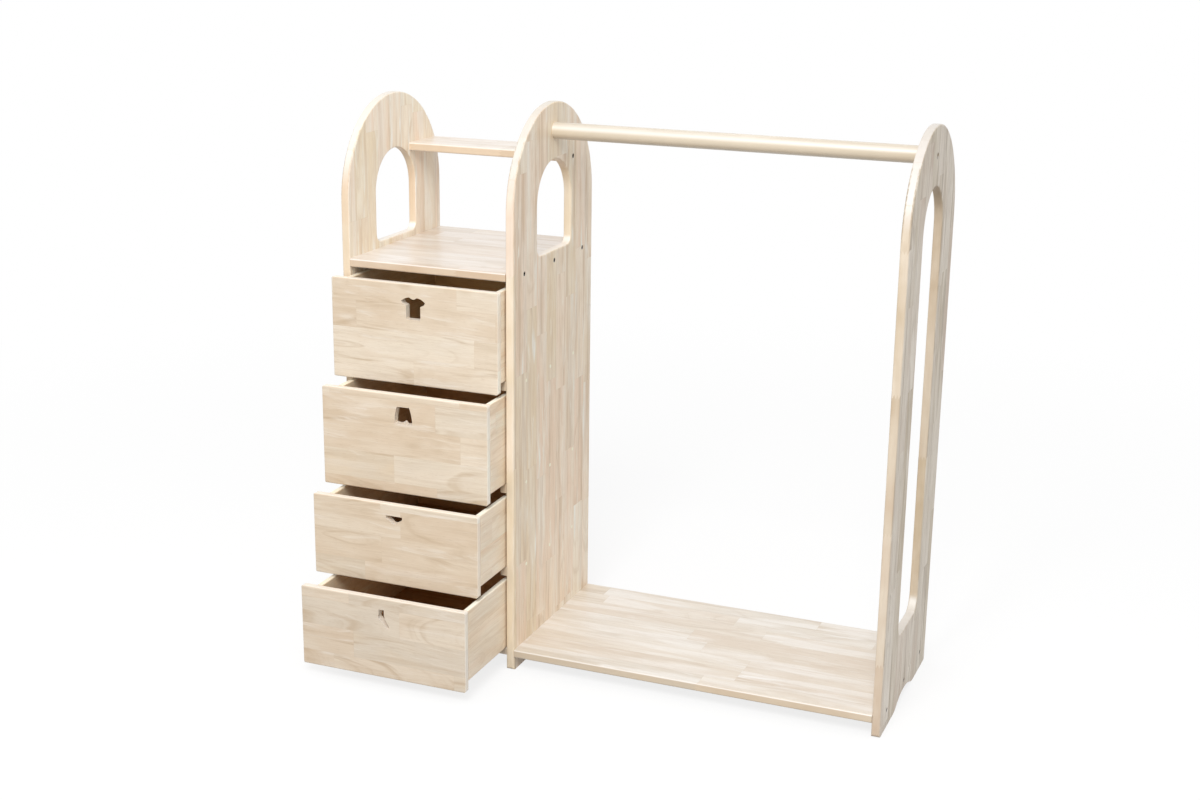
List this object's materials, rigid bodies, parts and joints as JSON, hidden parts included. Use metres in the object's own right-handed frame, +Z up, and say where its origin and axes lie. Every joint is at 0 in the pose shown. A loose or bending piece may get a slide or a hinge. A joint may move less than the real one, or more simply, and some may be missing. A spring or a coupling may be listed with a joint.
{
  "type": "open-front kids wardrobe",
  "caption": "Open-front wooden wardrobe for a child: arched uprights, a hanging rail over a low floor, and a bank of drawers with cut-out finger holes under an open shelf.",
  "frame": {"origin": "on the ground plane that the feet stand on, at the middle of the bounding box of the wardrobe with its drawers as far open as in the rest pose: 5 mm left of mid-width of the three uprights and 97 mm in front of their mid-depth", "axes": "+X to the right as seen from the front, +Y from front to back, +Z up; the drawers pull out along -Y"},
  "size_m": [1.21, 0.612, 1.2],
  "materials": {
    "upright_wood": "clear matt lacquer",
    "board_wood": "clear matt lacquer",
    "front_wood": "clear matt lacquer",
    "rail_wood": "clear matt lacquer",
    "dowel_wood": "bare",
    "plywood": "bare",
    "dark_steel": "black oxide"
  },
  "bodies": {
    "frame": {"left_side_panel": "upright_wood", "middle_side_panel": "upright_wood", "right_side_panel": "upright_wood", "hanging_rail": "rail_wood", "wardrobe_floor": "board_wood", "drawer_unit_base": "board_wood", "drawer_unit_top": "board_wood", "upper_back_board": "board_wood", "drawer_unit_back_panel": "plywood", "shirt_drawer_left_runner": "board_wood", "shirt_drawer_right_runner": "board_wood", "shorts_drawer_left_runner": "board_wood", "shorts_drawer_right_runner": "board_wood", "briefs_drawer_left_runner": "board_wood", "briefs_drawer_right_runner": "board_wood", "left_runner_dowels": "dowel_wood", "right_runner_dowels": "dowel_wood", "rail_bolts": "dark_steel", "floor_screws": "dark_steel", "base_screws": "dark_steel", "top_board_screws": "dark_steel", "upper_board_screws": "dark_steel", "upper_board_dowels": "dowel_wood", "centre_joint_dowels": "dowel_wood"},
    "shirt_drawer": {"shirt_drawer_front": "front_wood", "shirt_drawer_left_side": "board_wood", "shirt_drawer_right_side": "board_wood", "shirt_drawer_back": "board_wood", "shirt_drawer_bottom": "plywood", "shirt_drawer_corner_dowels": "dowel_wood"},
    "shorts_drawer": {"shorts_drawer_front": "front_wood", "shorts_drawer_left_side": "board_wood", "shorts_drawer_right_side": "board_wood", "shorts_drawer_back": "board_wood", "shorts_drawer_bottom": "plywood", "shorts_drawer_corner_dowels": "dowel_wood"},
    "briefs_drawer": {"briefs_drawer_front": "front_wood", "briefs_drawer_left_side": "board_wood", "briefs_drawer_right_side": "board_wood", "briefs_drawer_back": "board_wood", "briefs_drawer_bottom": "plywood", "briefs_drawer_corner_dowels": "dowel_wood"},
    "sock_drawer": {"sock_drawer_front": "front_wood", "sock_drawer_left_side": "board_wood", "sock_drawer_right_side": "board_wood", "sock_drawer_back": "board_wood", "sock_drawer_bottom": "plywood", "sock_drawer_corner_dowels": "dowel_wood"}
  },
  "joints": [
    {"name": "shirt_drawer_slide", "type": "slide", "parent": "frame", "child": "shirt_drawer", "axis": [0, -1, 0], "range_m": [-0.0157, 0.264]},
    {"name": "shorts_drawer_slide", "type": "slide", "parent": "frame", "child": "shorts_drawer", "axis": [0, -1, 0], "range_m": [-0.0677, 0.212]},
    {"name": "briefs_drawer_slide", "type": "slide", "parent": "frame", "child": "briefs_drawer", "axis": [0, -1, 0], "range_m": [-0.1167, 0.163]},
    {"name": "sock_drawer_slide", "type": "slide", "parent": "frame", "child": "sock_drawer", "axis": [0, -1, 0], "range_m": [-0.1777, 0.102]}
  ]
}
